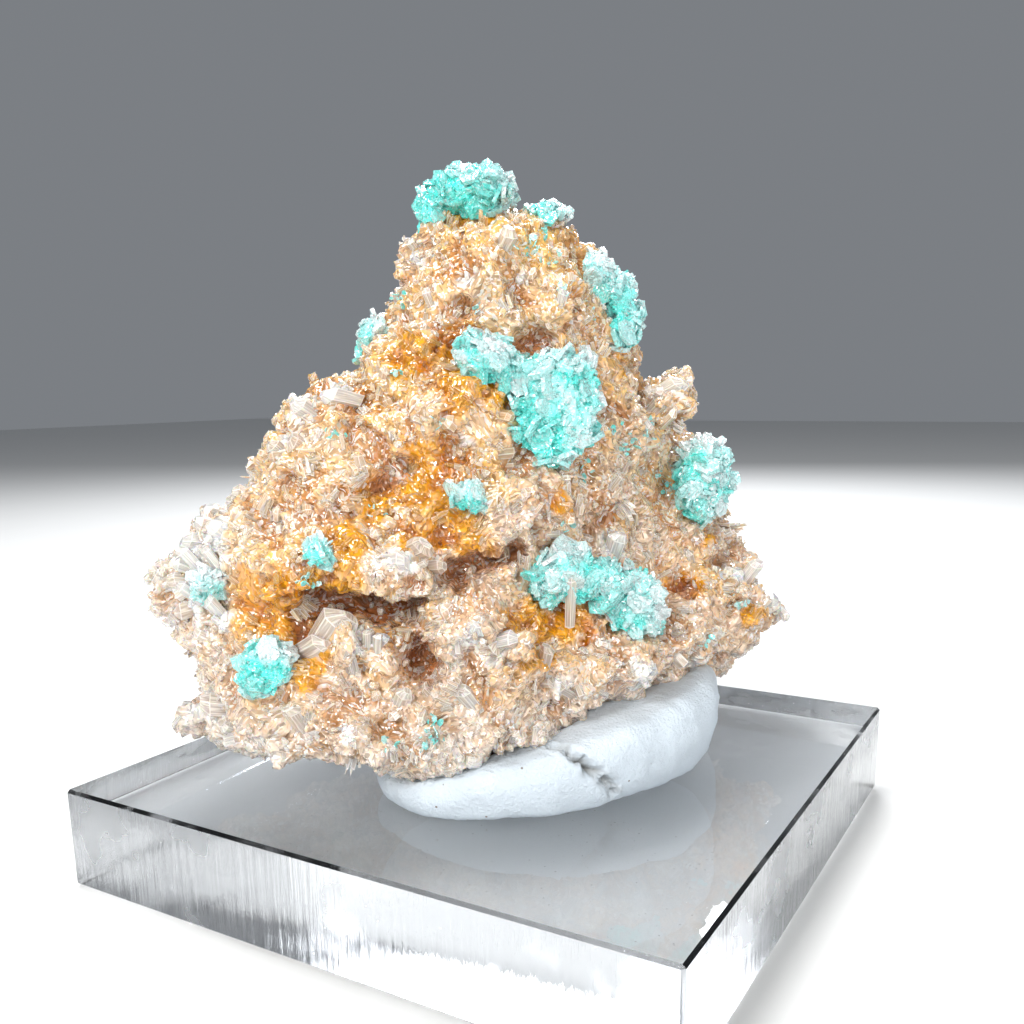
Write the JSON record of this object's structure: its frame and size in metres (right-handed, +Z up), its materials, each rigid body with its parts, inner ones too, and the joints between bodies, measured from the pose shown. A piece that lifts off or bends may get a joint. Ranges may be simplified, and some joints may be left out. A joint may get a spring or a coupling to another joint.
{
  "type": "devilline mineral specimen on a display slab",
  "caption": "Teal devilline crystal clusters on a drusy, iron-stained gypsum rock, fixed with white putty to a square clear display slab.",
  "frame": {"origin": "middle of the slab's underside, the face it stands on", "axes": "+Z up from the slab's underside through the specimen; +X and +Y along the slab's sides, the specimen's face turned 30.6 degrees from -Y towards +X"},
  "size_m": [0.076, 0.076, 0.081],
  "materials": {
    "acrylic": "clear cast acrylic, polished faces and sawn then polished edges",
    "putty": "matt white mineral putty, finger-pressed",
    "gypsum": "drusy clear to pale pink gypsum, stained amber and reddish brown by iron",
    "devilline": "teal to pale aqua, glassy to pearly thin plates"
  },
  "bodies": {
    "root": {"acrylic_base": "acrylic", "putty_pad": "putty", "gypsum_matrix": "gypsum", "devilline_top": "devilline", "devilline_crest": "devilline", "devilline_upper_right": "devilline", "devilline_left_shoulder": "devilline", "devilline_centre": "devilline", "devilline_middle": "devilline", "devilline_left_small": "devilline", "devilline_far_left": "devilline", "devilline_lower_left": "devilline", "devilline_lower_centre": "devilline", "devilline_right": "devilline", "devilline_back_upper": "devilline", "devilline_back_lower": "devilline", "devilline_back_left": "devilline"}
  },
  "joints": []
}
